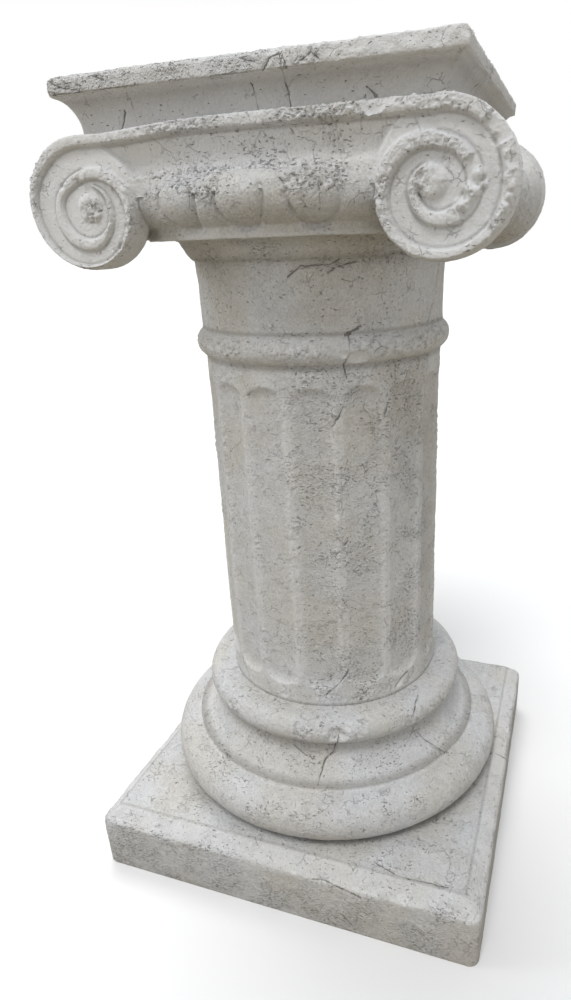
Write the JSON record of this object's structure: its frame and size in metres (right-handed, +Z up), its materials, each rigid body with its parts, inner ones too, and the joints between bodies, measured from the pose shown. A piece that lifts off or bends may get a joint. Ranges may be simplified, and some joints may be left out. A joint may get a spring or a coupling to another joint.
{
  "type": "decorative column",
  "caption": "Short Ionic pedestal column in weathered cast stone: square plinth, moulded base, fluted shaft, scrolled capital with bolsters, and a flat square abacus to stand things on.",
  "frame": {"origin": "centre of the plinth's underside, on the floor", "axes": "+Z up the column's axis; -Y is the front, the scrolled face in view; +X and -X are the sides with the bolsters"},
  "size_m": [0.4, 0.4, 0.7334],
  "materials": {
    "cast_stone": "matt, weathered white cast stone with pits, chips and hairline cracks"
  },
  "bodies": {
    "root": {"column": "cast_stone"}
  },
  "joints": []
}
